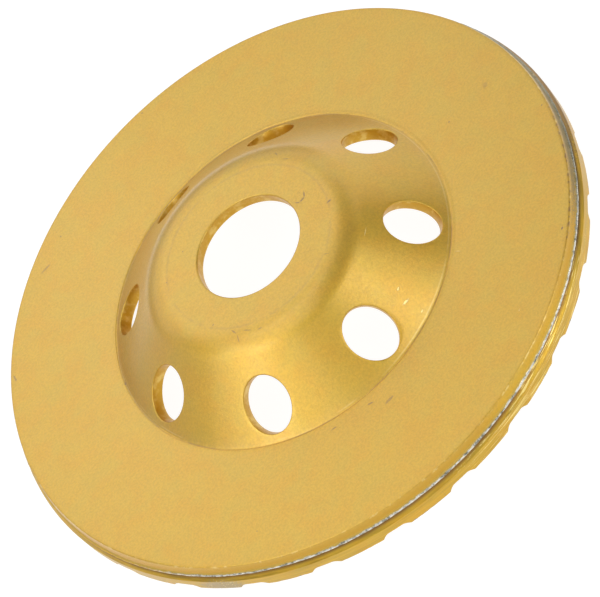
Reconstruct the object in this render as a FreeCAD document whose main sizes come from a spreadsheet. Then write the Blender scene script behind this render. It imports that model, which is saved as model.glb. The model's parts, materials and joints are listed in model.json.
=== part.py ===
import FreeCAD, Part
import math
import os

import Sketcher
from FreeCAD import Placement, Rotation, Vector

# A diamond cup wheel for an angle grinder. It is made of three pieces that lie one on the other:
# a pressed steel cup with a raised centre, a thin seam of brazing alloy, and a ring of sintered
# diamond abrasive. The spindle axis is Z, the grinding face lies on Z = 0, and the raised centre
# points up. Lengths are in millimetres and angles in degrees.

# Each row is a driving size: its name, its value and what it measures.
SIZES = (
    ("wheel_diameter", 125.0, "across the abrasive ring"),
    ("bore_diameter", 22.23, "spindle hole"),
    ("sheet", 2.5, "thickness of the pressed steel"),
    ("dome_rise", 12.55, "top of the flange to the top of the centre"),
    ("centre_diameter", 42.8, "where the cone's slope meets the top of the raised centre"),
    ("shoulder_bend", 6.5, "inside radius of the bend between the cone and the centre"),
    ("foot_bend", 1.5, "inside radius of the bend between the cone and the flange"),
    ("bore_edge", 0.3, "rounding of the spindle hole's two edges"),
    ("plate_step", 0.75, "how far the steel's lower edge lies inside the abrasive ring"),
    ("plate_draft", 0.5, "how much wider the steel's edge is below than above"),
    ("plate_edge", 0.3, "rounding of the flange's top edge"),
    ("vent_count", 8, "holes round the cone"),
    ("vent_length", 11.35, "oval hole in the cone, along the slope"),
    ("vent_width", 9.45, "oval hole in the cone, across the slope"),
    ("vent_above_foot", 7.2, "up the cone's slope from its foot to a hole's centre"),
    ("seat_depth", 0.6, "recess turned into the flange for the abrasive ring"),
    ("seat_play", 0.2, "gap between the recess and the inside of the abrasive ring"),
    ("seam", 0.4, "thickness of the brazed seam"),
    ("seam_bead", 0.25, "how far the seam's bead stands out from the steel's edge"),
    ("bead_climb", 0.4, "how far the bead runs up the steel's edge"),
    ("bead_fall", 0.3, "how far the bead runs down the abrasive ring's bevel"),
    ("bead_round", 0.18, "rounding of the bead"),
    ("rim_depth", 3.95, "thickness of the abrasive ring"),
    ("rim_width", 19.5, "from the inside to the outside of the abrasive ring"),
    ("rim_ledge", 6.4, "flat ring of bare flange between the cone's foot and the abrasive"),
    ("rim_bevel", 1.2, "height of the bevel along the abrasive ring's top outer edge"),
    ("rim_undercut", 0.25, "how far the top of that bevel lies inside the steel's edge"),
    ("groove_count", 26, "grooves across the grinding face"),
    ("groove_mouth", 6.1, "width of a groove at the grinding face"),
    ("groove_roof", 2.9, "width of a groove at its deepest"),
    ("groove_depth", 1.0, "depth of a groove"),
    ("groove_round", 0.8, "rounding along the groove's roof"),
    ("groove_turn", 9.74, "turn from the first hole to the nearest groove"),
)

# Heights and radii that several pieces share, worked out from the driving sizes. A run is how far
# a sloping edge goes outwards for each millimetre that it goes down.
SEAM_BOTTOM = "Sizes.rim_depth"
SEAM_TOP = f"({SEAM_BOTTOM} + Sizes.seam)"
FLANGE_BOTTOM = f"({SEAM_TOP} - Sizes.seat_depth)"
FLANGE_TOP = f"({FLANGE_BOTTOM} + Sizes.sheet)"
CENTRE_TOP = f"({FLANGE_TOP} + Sizes.dome_rise)"
CENTRE_BOTTOM = f"({CENTRE_TOP} - Sizes.sheet)"

WHEEL_RADIUS = "(Sizes.wheel_diameter / 2)"
PLATE_RADIUS = f"({WHEEL_RADIUS} - Sizes.plate_step)"
PLATE_TOP_RADIUS = f"({PLATE_RADIUS} - Sizes.plate_draft)"
BEAD_RADIUS = f"({PLATE_RADIUS} + Sizes.seam_bead)"
BEVEL_RADIUS = f"({PLATE_RADIUS} - Sizes.rim_undercut)"
BEVEL_RUN = f"(({WHEEL_RADIUS} - {BEVEL_RADIUS}) / Sizes.rim_bevel)"
EDGE_RUN = f"(Sizes.plate_draft / ({FLANGE_TOP} - {SEAM_TOP}))"
RIM_INSIDE = f"({WHEEL_RADIUS} - Sizes.rim_width)"
SEAT_RADIUS = f"({RIM_INSIDE} - Sizes.seat_play)"
FOOT_RADIUS = f"({RIM_INSIDE} - Sizes.rim_ledge)"
CENTRE_RADIUS = "(Sizes.centre_diameter / 2)"
BORE_RADIUS = "(Sizes.bore_diameter / 2)"

# The cone's slope from the flange, and how far the sheet's thickness shifts the inside of a bend.
CONE_ANGLE = f"atan(Sizes.dome_rise / ({FOOT_RADIUS} - {CENTRE_RADIUS}))"
BEND_SHIFT = f"(Sizes.sheet * tan({CONE_ANGLE} / 2))"
VENT_RADIUS = f"({FOOT_RADIUS} - Sizes.vent_above_foot * cos({CONE_ANGLE}))"
VENT_HEIGHT = f"({FLANGE_TOP} + Sizes.vent_above_foot * sin({CONE_ANGLE}))"

# The length of a hole's cut, half of it on each side of the cone's outside.
VENT_REACH = "(4 * Sizes.sheet)"

# An edge is found by its place, to within this length.
NEAR = 1e-4


def write_sizes(document):
    """The sheet that holds the driving sizes, one to a row."""
    sheet = document.addObject("Spreadsheet::Sheet", "Sizes")
    for row, (name, value, meaning) in enumerate(SIZES, start=1):
        sheet.set(f"A{row}", name)
        sheet.set(f"B{row}", str(value))
        sheet.setAlias(f"B{row}", name)
        sheet.set(f"C{row}", meaning)
    document.recompute()
    return sheet


def new_body(document, label):
    """An empty body with the name of its piece."""
    body = document.addObject("PartDesign::Body", label)
    body.Label = label
    body.Placement = Placement()
    return body


def origin_feature(body, role):
    """One of the body's own planes or axes."""
    for feature in body.Origin.OriginFeatures:
        if feature.Role == role:
            return feature
    raise ValueError(f"{body.Label} has no {role}")


def size_of(feature, expression):
    """The number that an expression of the driving sizes gives."""
    return float(feature.evalExpression(expression))


def new_sketch(body, name, role):
    """An empty sketch on one of the body's own planes."""
    sketch = body.newObject("Sketcher::SketchObject", name)
    sketch.AttachmentSupport = [(origin_feature(body, role), "")]
    sketch.MapMode = "FlatFace"
    return sketch


def dimension(sketch, kind, corner, name, expression):
    """A distance from the sketch's origin to the start of a line, driven by an expression."""
    value = size_of(sketch, expression)
    index = sketch.addConstraint(Sketcher.Constraint(kind, -1, 1, corner, 1, value))
    sketch.renameConstraint(index, name)
    sketch.setExpression(f"Constraints.{name}", expression)


def draw_section(sketch, corners):
    """A closed outline from a list of corners, each with a name, a radius and a height.

    A radius of None lies on a vertical line from the corner before, and a height of None on a
    level one. A height of 0 lies on the grinding face.
    """
    points = []
    for _, radius, height in corners:
        across = points[-1].x if radius is None else size_of(sketch, radius)
        up = points[-1].y if height is None else size_of(sketch, str(height))
        points.append(Vector(across, up, 0))
    for start, end in zip(points, points[1:] + points[:1]):
        sketch.addGeometry(Part.LineSegment(start, end), False)
    for corner, (name, radius, height) in enumerate(corners):
        before = (corner - 1) % len(corners)
        sketch.addConstraint(Sketcher.Constraint("Coincident", before, 2, corner, 1))
        if radius is None:
            sketch.addConstraint(Sketcher.Constraint("Vertical", before))
        else:
            dimension(sketch, "DistanceX", corner, f"{name}_radius", radius)
        if height is None:
            sketch.addConstraint(Sketcher.Constraint("Horizontal", before))
        elif height == 0:
            sketch.addConstraint(Sketcher.Constraint("PointOnObject", corner, 1, -1))
        else:
            dimension(sketch, "DistanceY", corner, f"{name}_height", height)


def revolve(body, name, sketch):
    """The solid that a section sweeps in one turn about the spindle axis."""
    turned = body.newObject("PartDesign::Revolution", name)
    turned.Profile = sketch
    turned.ReferenceAxis = (sketch, ["V_Axis"])
    turned.Angle = 360
    body.Document.recompute()
    return turned


def ring_edges(feature, radius, height):
    """The names of the feature's round edges with this radius at this height."""
    wanted_radius = size_of(feature, radius)
    wanted_height = size_of(feature, height)
    names = []
    for number, edge in enumerate(feature.Shape.Edges, start=1):
        if not isinstance(edge.Curve, Part.Circle):
            continue
        size_fits = abs(edge.Curve.Radius - wanted_radius) < NEAR
        if size_fits and abs(edge.Curve.Center.z - wanted_height) < NEAR:
            names.append(f"Edge{number}")
    if not names:
        raise ValueError(f"{feature.Label} has no ring of radius {wanted_radius} at {wanted_height}")
    return names


def round_edges(body, name, base, edges, radius):
    """A rounding of the base's named edges."""
    rounding = body.newObject("PartDesign::Fillet", name)
    rounding.Base = (base, edges)
    rounding.setExpression("Radius", radius)
    body.Document.recompute()
    return rounding


def repeat_round(body, name, feature, count):
    """Copies of a feature, evenly spaced about the spindle axis."""
    pattern = body.newObject("PartDesign::PolarPattern", name)
    pattern.Originals = [feature]
    pattern.Axis = (origin_feature(body, "Z_Axis"), [""])
    pattern.Angle = 360
    pattern.setExpression("Occurrences", count)
    body.Tip = pattern
    body.Document.recompute()
    return pattern


def check_removed(before, after, expected, what):
    """Stops if a cut took away much less or much more than it should."""
    removed = before.Shape.Volume - after.Shape.Volume
    if not 0.7 * expected < removed < 1.3 * expected:
        raise ValueError(f"{what} removed {removed:.1f} mm3 and not about {expected:.1f} mm3")


def cut_vents(body, cup):
    """Oval holes through the cone, square to its slope and evenly spaced round it."""
    outline = new_sketch(body, "VentOutline", "XY_Plane")
    outline.AttachmentOffset = Placement(Vector(0, 0, 0), Rotation(Vector(0, 1, 0), 1))
    outline.setExpression("AttachmentOffset.Base.x", VENT_RADIUS)
    outline.setExpression("AttachmentOffset.Base.z", VENT_HEIGHT)
    outline.setExpression("AttachmentOffset.Rotation.Angle", CONE_ANGLE)
    half_length = size_of(outline, "Sizes.vent_length / 2")
    half_width = size_of(outline, "Sizes.vent_width / 2")
    oval = Part.Ellipse(Vector(half_length, 0, 0), Vector(0, half_width, 0), Vector(0, 0, 0))
    outline.addGeometry(oval, False)
    outline.exposeInternalGeometry(0)
    outline.addConstraint(Sketcher.Constraint("Coincident", 0, 3, -1, 1))
    outline.addConstraint(Sketcher.Constraint("Horizontal", 1))
    length = outline.addConstraint(Sketcher.Constraint("Distance", 1, 2 * half_length))
    width = outline.addConstraint(Sketcher.Constraint("Distance", 2, 2 * half_width))
    for index, name in ((length, "length"), (width, "width")):
        outline.renameConstraint(index, name)
        outline.setExpression(f"Constraints.{name}", f"Sizes.vent_{name}")

    vent = body.newObject("PartDesign::Pocket", "Vent")
    vent.Profile = outline
    vent.Midplane = True
    vent.setExpression("Length", VENT_REACH)
    body.Document.recompute()
    vents = repeat_round(body, "Vents", vent, "Sizes.vent_count")
    area = math.pi * half_length * half_width
    depth = size_of(body, "Sizes.vent_count * Sizes.sheet")
    check_removed(cup, vents, area * depth, "The holes in the cone")


def make_cup_body(document):
    """The pressed steel cup: flat flange, cone with its holes, and raised centre with the bore."""
    body = new_body(document, "cup_body")
    section = new_sketch(body, "CupSection", "XZ_Plane")
    draw_section(section, (
        ("bore_top", BORE_RADIUS, CENTRE_TOP),
        ("shoulder", CENTRE_RADIUS, None),
        ("foot", FOOT_RADIUS, FLANGE_TOP),
        ("plate_top", PLATE_TOP_RADIUS, None),
        ("plate_bottom", PLATE_RADIUS, SEAM_TOP),
        ("seat", SEAT_RADIUS, None),
        ("seat_wall", None, FLANGE_BOTTOM),
        ("inner_foot", f"{FOOT_RADIUS} - {BEND_SHIFT}", None),
        ("inner_shoulder", f"{CENTRE_RADIUS} - {BEND_SHIFT}", CENTRE_BOTTOM),
        ("bore_bottom", BORE_RADIUS, None),
    ))
    solid = revolve(body, "CupTurned", section)

    bends = (
        ("ShoulderOutside", CENTRE_RADIUS, CENTRE_TOP, "Sizes.shoulder_bend + Sizes.sheet"),
        ("ShoulderInside", f"{CENTRE_RADIUS} - {BEND_SHIFT}", CENTRE_BOTTOM, "Sizes.shoulder_bend"),
        ("FootInside", FOOT_RADIUS, FLANGE_TOP, "Sizes.foot_bend"),
        ("FootOutside", f"{FOOT_RADIUS} - {BEND_SHIFT}", FLANGE_BOTTOM, "Sizes.foot_bend + Sizes.sheet"),
        ("PlateEdge", PLATE_TOP_RADIUS, FLANGE_TOP, "Sizes.plate_edge"),
        ("BoreTopEdge", BORE_RADIUS, CENTRE_TOP, "Sizes.bore_edge"),
        ("BoreBottomEdge", BORE_RADIUS, CENTRE_BOTTOM, "Sizes.bore_edge"),
    )
    for name, radius, height, rounding in bends:
        solid = round_edges(body, name, solid, ring_edges(solid, radius, height), rounding)

    cut_vents(body, solid)
    return body


def make_braze_seam(document):
    """The thin ring of brazing alloy between the steel and the abrasive, with a bead outside it.

    The bead lies against the steel's edge above and against the abrasive's bevel below.
    """
    body = new_body(document, "braze_seam")
    section = new_sketch(body, "SeamSection", "XZ_Plane")
    draw_section(section, (
        ("inner_bottom", RIM_INSIDE, SEAM_BOTTOM),
        ("bevel_top", BEVEL_RADIUS, None),
        ("bead_foot", f"{BEVEL_RADIUS} + Sizes.bead_fall * {BEVEL_RUN}", f"{SEAM_BOTTOM} - Sizes.bead_fall"),
        ("bead_bottom", BEAD_RADIUS, SEAM_BOTTOM),
        ("bead_top", None, SEAM_TOP),
        ("bead_head", f"{PLATE_RADIUS} - Sizes.bead_climb * {EDGE_RUN}", f"{SEAM_TOP} + Sizes.bead_climb"),
        ("plate_bottom", PLATE_RADIUS, SEAM_TOP),
        ("inner_top", RIM_INSIDE, None),
    ))
    solid = revolve(body, "SeamTurned", section)
    bead = ring_edges(solid, BEAD_RADIUS, SEAM_BOTTOM) + ring_edges(solid, BEAD_RADIUS, SEAM_TOP)
    round_edges(body, "Bead", solid, bead, "min(Sizes.bead_round; 0.45 * Sizes.seam)")
    return body


def cut_grooves(body, ring):
    """Shallow grooves that widen towards the grinding face, from the ring's inside to its outside."""
    outline = new_sketch(body, "GrooveSection", "YZ_Plane")
    half_mouth = size_of(outline, "Sizes.groove_mouth / 2")
    half_roof = size_of(outline, "Sizes.groove_roof / 2")
    depth = size_of(outline, "Sizes.groove_depth")
    corners = (
        Vector(-half_mouth, 0, 0),
        Vector(half_mouth, 0, 0),
        Vector(half_roof, depth, 0),
        Vector(-half_roof, depth, 0),
    )
    for start, end in zip(corners, corners[1:] + corners[:1]):
        outline.addGeometry(Part.LineSegment(start, end), False)
    for corner in range(4):
        before = (corner - 1) % 4
        outline.addConstraint(Sketcher.Constraint("Coincident", before, 2, corner, 1))
    outline.addConstraint(Sketcher.Constraint("Symmetric", 0, 1, 0, 2, -2))
    outline.addConstraint(Sketcher.Constraint("Symmetric", 2, 1, 2, 2, -2))
    outline.addConstraint(Sketcher.Constraint("PointOnObject", 0, 1, -1))
    mouth = outline.addConstraint(Sketcher.Constraint("DistanceX", 0, 1, 0, 2, 2 * half_mouth))
    roof = outline.addConstraint(Sketcher.Constraint("DistanceX", 2, 2, 2, 1, 2 * half_roof))
    rise = outline.addConstraint(Sketcher.Constraint("DistanceY", 1, 1, 1, 2, depth))
    for index, name in ((mouth, "mouth"), (roof, "roof"), (rise, "depth")):
        outline.renameConstraint(index, name)
        outline.setExpression(f"Constraints.{name}", f"Sizes.groove_{name}")

    groove = body.newObject("PartDesign::Pocket", "Groove")
    groove.Profile = outline
    groove.Reversed = True
    groove.setExpression("Length", "Sizes.wheel_diameter")
    body.Document.recompute()
    grooves = repeat_round(body, "Grooves", groove, "Sizes.groove_count")
    length = size_of(body, f"Sizes.groove_count * ({WHEEL_RADIUS} - {RIM_INSIDE})")
    check_removed(ring, grooves, (half_mouth + half_roof) * depth * length, "The grooves")
    return grooves


def make_diamond_rim(document):
    """The ring of diamond abrasive, with shallow grooves across its grinding face."""
    body = new_body(document, "diamond_rim")
    section = new_sketch(body, "RimSection", "XZ_Plane")
    draw_section(section, (
        ("inner_bottom", RIM_INSIDE, 0),
        ("outer_bottom", WHEEL_RADIUS, None),
        ("bevel_bottom", None, f"{SEAM_BOTTOM} - Sizes.rim_bevel"),
        ("bevel_top", BEVEL_RADIUS, SEAM_BOTTOM),
        ("inner_top", RIM_INSIDE, None),
    ))
    solid = revolve(body, "RimTurned", section)

    grooves = cut_grooves(body, solid)
    depth = size_of(body, "Sizes.groove_depth")
    roof_edges = []
    for number, edge in enumerate(grooves.Shape.Edges, start=1):
        if isinstance(edge.Curve, Part.Line) and all(abs(v.Z - depth) < NEAR for v in edge.Vertexes):
            roof_edges.append(f"Edge{number}")
    round_edges(body, "GrooveRoofs", grooves, roof_edges, "Sizes.groove_round")

    body.Placement = Placement(Vector(0, 0, 0), Rotation(Vector(0, 0, 1), 1))
    body.setExpression("Placement.Rotation.Angle", "Sizes.groove_turn")
    return body


def check_document(document, bodies):
    """Stops if any object failed, or if a piece isn't one sound solid."""
    for item in document.Objects:
        if "Invalid" in item.State or "Error" in item.State:
            raise ValueError(f"{item.Label} failed: {item.State}")
    for body in bodies:
        shape = body.Shape
        if shape.isNull() or not shape.isValid() or len(shape.Solids) != 1:
            raise ValueError(f"{body.Label} isn't one sound solid")


def main():
    document = FreeCAD.newDocument("DiamondCupWheel")
    write_sizes(document)
    bodies = [make_cup_body(document), make_braze_seam(document), make_diamond_rim(document)]
    document.recompute()
    check_document(document, bodies)
    os.makedirs("parts", exist_ok=True)
    for body in bodies:
        body.Shape.exportStep(f"parts/{body.Label}.step")
        box = body.Shape.optimalBoundingBox(False, False)
        print(f"{body.Label}: {body.Shape.Volume:.1f} mm3, z {box.ZMin:.2f} to {box.ZMax:.2f}, "
              f"across {box.XLength:.2f}")


main()
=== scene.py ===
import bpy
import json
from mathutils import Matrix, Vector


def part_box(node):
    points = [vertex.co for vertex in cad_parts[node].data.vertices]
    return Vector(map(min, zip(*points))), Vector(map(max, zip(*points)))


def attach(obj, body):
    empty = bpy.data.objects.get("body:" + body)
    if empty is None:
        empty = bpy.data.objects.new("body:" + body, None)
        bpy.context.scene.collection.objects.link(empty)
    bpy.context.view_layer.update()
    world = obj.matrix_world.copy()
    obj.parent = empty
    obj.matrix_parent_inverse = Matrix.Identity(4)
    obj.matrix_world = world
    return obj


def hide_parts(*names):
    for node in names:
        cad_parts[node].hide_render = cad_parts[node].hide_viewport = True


bl_info = {
    "name": "Diamond Cup Wheel",
    "version": (1, 0, 0),
    "blender": (4, 5, 0),
    "location": "3D View > Sidebar > Cup Wheel",
    "description": "Dresses a pressed and painted cup wheel, its brazed seam and its grooved rim",
    "category": "Add Mesh",
}

import json
import math
from functools import reduce

import bmesh
import bpy
from bpy.props import FloatProperty, FloatVectorProperty, IntProperty, PointerProperty
from bpy.types import NodeSocket, Operator, Panel, PropertyGroup
from mathutils import Matrix, Vector, noise

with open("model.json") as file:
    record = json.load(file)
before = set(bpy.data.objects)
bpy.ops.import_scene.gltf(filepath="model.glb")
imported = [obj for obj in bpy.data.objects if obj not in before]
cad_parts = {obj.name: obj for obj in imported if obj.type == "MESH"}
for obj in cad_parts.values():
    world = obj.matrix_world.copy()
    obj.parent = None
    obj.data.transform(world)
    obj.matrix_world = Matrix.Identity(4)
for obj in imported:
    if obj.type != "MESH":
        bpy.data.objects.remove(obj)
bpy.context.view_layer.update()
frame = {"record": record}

MM = 0.001
FULL_TURN = 2 * math.pi

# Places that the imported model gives
CUP_LOW, CUP_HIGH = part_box("cup_body")
SEAM_LOW, SEAM_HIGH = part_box("braze_seam")
RIM_LOW, RIM_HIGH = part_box("diamond_rim")
MOUNTS = {mount["name"]: mount for mount in frame["record"]["mounts"]}
BORE_RADIUS = MOUNTS["bore"]["dims"]["r_mm"] * MM
CENTRE_HEIGHT = MOUNTS["spindle_flange_seat"]["pos_m"][2]
SHEET = CENTRE_HEIGHT - MOUNTS["lock_nut_seat"]["pos_m"][2]


# Settings

def metres(name, description, default, low=0.0):
    """Returns a setting for a length in metres"""
    return FloatProperty(name=name, description=description, default=default, min=low, precision=5,
                         subtype="DISTANCE", unit="LENGTH")


def degrees(name, description, default):
    """Returns a setting for an angle, given in degrees"""
    return FloatProperty(name=name, description=description, default=math.radians(default),
                         subtype="ANGLE", unit="ROTATION")


def tint(name, description, *colour):
    """Returns a setting for an opaque colour"""
    return FloatVectorProperty(name=name, description=description, default=(*colour, 1.0), size=4,
                               min=0.0, max=1.0, subtype="COLOR")


class CupSizes(PropertyGroup):
    """Sizes of the pressed sheet cup"""

    sheet: metres("Sheet", "Thickness of the pressed sheet", SHEET)
    bore_radius: metres("Bore radius", "Radius of the spindle hole", BORE_RADIUS)
    bore_round: metres("Bore edge", "Rounding of the spindle hole's two edges", 0.3 * MM)
    centre_height: metres("Centre height", "Height of the raised centre", CENTRE_HEIGHT)
    shoulder_radius: metres("Shoulder radius", "Radius where the centre meets the cone", 21.4 * MM)
    shoulder_round: metres("Shoulder bend", "Outer bend between the centre and the cone", 9.0 * MM)
    foot_radius: metres("Foot radius", "Radius where the cone meets the flange", 36.6 * MM)
    inner_foot_round: metres("Inner foot bend", "Bend at the cone's foot, on the underside", 4.0 * MM)
    flange_height: metres("Flange height", "Height of the flange's upper face", 6.25 * MM)
    flange_radius: metres("Flange radius", "Radius of the flange's upper edge", 61.25 * MM)
    flange_round: metres("Flange edge", "Rounding of the flange's upper edge", 0.25 * MM)
    outer_radius: metres("Outer radius", "Radius of the flange's lower edge", CUP_HIGH.x)
    underside: metres("Underside", "Height of the flange's underside", RIM_HIGH.z + 0.4 * MM)
    seat_radius: metres("Seat radius", "Radius where the step for the rim begins", 42.8 * MM)
    seat_height: metres("Seat height", "Height of the underside inside that step", CUP_LOW.z)
    crease_depth: metres("Crease depth", "Depth of the die line round the cone's foot", 0.1 * MM)
    crease_width: metres("Crease width", "Width of the die line's outer wall", 0.3 * MM)
    burr_height: metres("Burr height", "Height of the burr outside the die line", 0.05 * MM)
    vent_count: IntProperty(name="Vents", description="Number of vents round the cone", default=8, min=1)
    vent_length: metres("Vent length", "Size of each oval vent along the slope", 11.35 * MM)
    vent_width: metres("Vent width", "Size of each oval vent across the slope", 9.45 * MM)
    vent_along: metres("Vent place", "Distance of each vent from the foot, along the cone", 7.2 * MM)
    vent_edge: metres("Vent edge", "Width of the rounded edge of each vent", 0.2 * MM)


class SeamSizes(PropertyGroup):
    """Sizes of the brazed seam"""

    inner_radius: metres("Inner radius", "Radius of the seam's inner edge", 43.0 * MM)
    outer_radius: metres("Outer radius", "Radius of the bead at the seam's outer edge", SEAM_HIGH.x)
    low: metres("Lower height", "Height of the seam's lower face", RIM_HIGH.z)
    high: metres("Upper height", "Height of the seam's upper face", RIM_HIGH.z + 0.4 * MM)
    head: metres("Bead head", "Height of the bead's upper end, on the steel's edge", SEAM_HIGH.z)
    head_inset: metres("Head inset", "How far that end lies inside the bead", 0.38 * MM)
    foot: metres("Bead foot", "Height of the bead's lower end, on the rim's bevel", SEAM_LOW.z)
    foot_inset: metres("Foot inset", "How far that end lies inside the bead", 0.28 * MM)
    bead_round: metres("Bead rounding", "Rounding of the bead", 0.2 * MM)
    unevenness: metres("Unevenness", "How far the bead wanders", 0.07 * MM)


class RimSizes(PropertyGroup):
    """Sizes of the grooved abrasive rim"""

    inner_radius: metres("Inner radius", "Radius of the rim's inner edge", 43.0 * MM)
    outer_radius: metres("Outer radius", "Radius over the abrasive", RIM_HIGH.x)
    height: metres("Height", "Height of the rim over the grinding face", RIM_HIGH.z)
    bevel: metres("Bevel", "Height of the bevel under the seam", 1.2 * MM)
    ledge: metres("Ledge", "Width of the bevel under the seam", 1.0 * MM)
    edge_round: metres("Edge rounding", "Rounding of the rim's lower edges", 0.1 * MM)
    groove_count: IntProperty(name="Grooves", description="Number of grooves in the face", default=26, min=1)
    groove_turn: degrees("First groove", "Angle of the first groove", 9.74)
    groove_mouth: metres("Groove mouth", "Width of a groove at the grinding face", 6.1 * MM)
    groove_roof: metres("Groove roof", "Width of a groove at its roof", 2.9 * MM)
    groove_depth: metres("Groove depth", "Depth of a groove", 1.0 * MM)
    raggedness: metres("Raggedness", "How far the lower edge is chipped", 0.14 * MM)


class FinishColours(PropertyGroup):
    """Colours of the paint and of the bare metals, and of painted shade and highlights"""

    gold: tint("Gold", "The paint's main colour", 0.74, 0.45, 0.033)
    warm_gold: tint("Warm gold", "The paint where it leans to orange", 0.75, 0.435, 0.029)
    green_gold: tint("Green gold", "The paint where it leans to green", 0.72, 0.455, 0.037)
    lapped_gold: tint("Lapped gold", "Paint that laps over the seam's alloy", 0.65, 0.45, 0.10)
    # Darker gold, used as painted shade in the punched walls and on the flange's side, and for the rim's pits
    shade_and_pit_gold: tint("Shade and pit gold", "Paint in punched walls and creases", 0.60, 0.335, 0.028)
    # Also used as painted shade in the die line at the cone's foot
    mark: tint("Mark", "Dirt and scuffs on the paint", 0.36, 0.20, 0.055)
    # Also used for painted highlights: glints in and round the holes, on the flange's edge and the die line,
    # and streaks on the rim
    nick: tint("Nick", "Bright metal in a fresh nick", 0.95, 0.74, 0.24)
    braze: tint("Braze", "The bare brazing alloy", 0.80, 0.79, 0.71)
    dull_braze: tint("Dull braze", "The brazing alloy where it is tarnished", 0.19, 0.19, 0.14)
    # Painted shade under the seam's bead, partly burnt flux
    flux: tint("Flux", "Burnt flux that the brazing left under the seam", 0.30, 0.15, 0.03)
    # Painted shade under the seam's bead where the brazing was hottest, partly flux burnt black
    soot: tint("Soot", "Flux that is burnt black by the brazing", 0.045, 0.037, 0.018)
    tarnish: tint("Tarnish", "Paint that the brazing heat has dulled", 0.24, 0.19, 0.08)
    sinter: tint("Sinter", "The bare sintered metal", 0.33, 0.29, 0.22)
    grit: tint("Grit", "Diamond grit in the sintered metal", 0.78, 0.72, 0.40)


class StageSettings(PropertyGroup):
    """Camera, lamps and floor"""

    target_height: metres("Target height", "Height of the point that the camera faces", 6.25 * MM)
    camera_turn: degrees("Camera turn", "Where the camera stands round the wheel", -98.53)
    camera_rise: degrees("Camera rise", "How high the camera stands", 46.578)
    camera_roll: degrees("Camera roll", "How far the camera is rolled", 45.195)
    camera_distance: metres("Camera distance", "Distance from the target", 716.29 * MM)
    camera_right: metres("Camera right", "The camera's shift to its right", 3.73 * MM, low=-1.0)
    camera_up: metres("Camera up", "The camera's shift up in its frame", -3.895 * MM, low=-1.0)
    focal_length: FloatProperty(name="Focal length", description="The lens, in millimetres",
                                default=224.68, min=1.0, subtype="DISTANCE_CAMERA", unit="CAMERA")
    floor_size: metres("Floor size", "Width of the floor", 3.0)
    floor_colour: tint("Floor colour", "The floor's plain colour", 0.80, 0.80, 0.80)
    floor_glow: FloatProperty(name="Floor glow", description="How white the floor looks by itself",
                              default=0.93, min=0.0, max=1.0, subtype="FACTOR")
    room_light: tint("Room light", "Even light of the room", 0.298, 0.298, 0.298)


class WheelSettings(PropertyGroup):
    """All settings of the cup wheel"""

    cup: PointerProperty(type=CupSizes)
    seam: PointerProperty(type=SeamSizes)
    rim: PointerProperty(type=RimSizes)
    colours: PointerProperty(type=FinishColours)
    stage: PointerProperty(type=StageSettings)


# Sections and spun shapes

ARC_STEP = 0.6 * MM
ARC_STEPS_LEAST = 4
ARC_STEPS_MOST = 12
LEVEL_TOLERANCE = 1e-7
WELD_DISTANCE = 0.001 * MM
SHARP_ANGLE = math.radians(35)


def round_corner(bm, vert, before, after, rounding):
    """Rounds one corner of a flat section to a true arc"""
    corner = vert.co.copy()
    arrive = (corner - before).normalized()
    leave = (after - corner).normalized()
    half_turn = arrive.angle(leave) / 2
    centre = corner + (leave - arrive).normalized() * rounding / math.cos(half_turn)
    segments = min(max(math.ceil(2 * half_turn * rounding / ARC_STEP), ARC_STEPS_LEAST), ARC_STEPS_MOST)
    arc = bmesh.ops.bevel(bm, geom=[vert], offset=rounding * math.tan(half_turn), offset_type="OFFSET",
                          segments=segments, profile=0.5, affect="VERTICES", material=-1)
    for point in arc["verts"]:
        point.co = centre + (point.co - centre).normalized() * rounding


def draw_section(bm, corners):
    """Draws a closed section in the XZ plane from corners of radius, height and rounding"""
    places = [Vector((radius, 0.0, height)) for radius, height, rounding in corners]
    verts = [bm.verts.new(place) for place in places]
    bm.faces.new(verts)
    for index, (radius, height, rounding) in enumerate(corners):
        if rounding:
            round_corner(bm, verts[index], places[index - 1], places[(index + 1) % len(places)], rounding)
    bmesh.ops.delete(bm, geom=bm.faces[:], context="FACES_ONLY")


def only_verts(parts):
    """Returns the verts among the parts of a shape"""
    return [part for part in parts if isinstance(part, bmesh.types.BMVert)]


def divide_section(bm, slope_spacing, level_spacing, hold):
    """Divides the section's straight runs, with a holding point near each end of a level run"""
    for edge in bm.edges[:]:
        start, end = (vert.co.copy() for vert in edge.verts)
        level = abs(start.z - end.z) < LEVEL_TOLERANCE
        if level and edge.calc_length() > 4 * hold:
            points = only_verts(bmesh.ops.subdivide_edges(bm, edges=[edge], cuts=2)["geom_inner"])
            points.sort(key=lambda point: (point.co - start).length)
            points[0].co = start + (end - start).normalized() * hold
            points[1].co = end + (start - end).normalized() * hold
            edge = next(link for link in points[0].link_edges if points[1] in link.verts)
        spacing = level_spacing if level else slope_spacing
        cuts = math.ceil(edge.calc_length() / spacing - 1e-3) - 1
        if cuts > 0:
            bmesh.ops.subdivide_edges(bm, edges=[edge], cuts=cuts)


def turn_shape(bm, angle):
    """Turns the shape about the spindle axis"""
    bmesh.ops.rotate(bm, verts=bm.verts[:], cent=(0, 0, 0), matrix=Matrix.Rotation(angle, 3, "Z"))


def spin_shape(bm, angle, steps, copies):
    """Spins the shape about the spindle axis, as a surface or as copies"""
    bmesh.ops.spin(bm, geom=bm.verts[:] + bm.edges[:] + bm.faces[:], cent=(0, 0, 0), axis=(0, 0, 1),
                   dvec=(0, 0, 0), angle=angle, steps=steps, use_merge=False, use_normal_flip=False,
                   use_duplicate=copies)


def spin_sector(bm, sectors, steps):
    """Spins the section through one of some equal sectors, with its middle on the X axis"""
    sector = FULL_TURN / sectors
    turn_shape(bm, -sector / 2)
    spin_shape(bm, sector, steps, copies=False)


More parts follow.
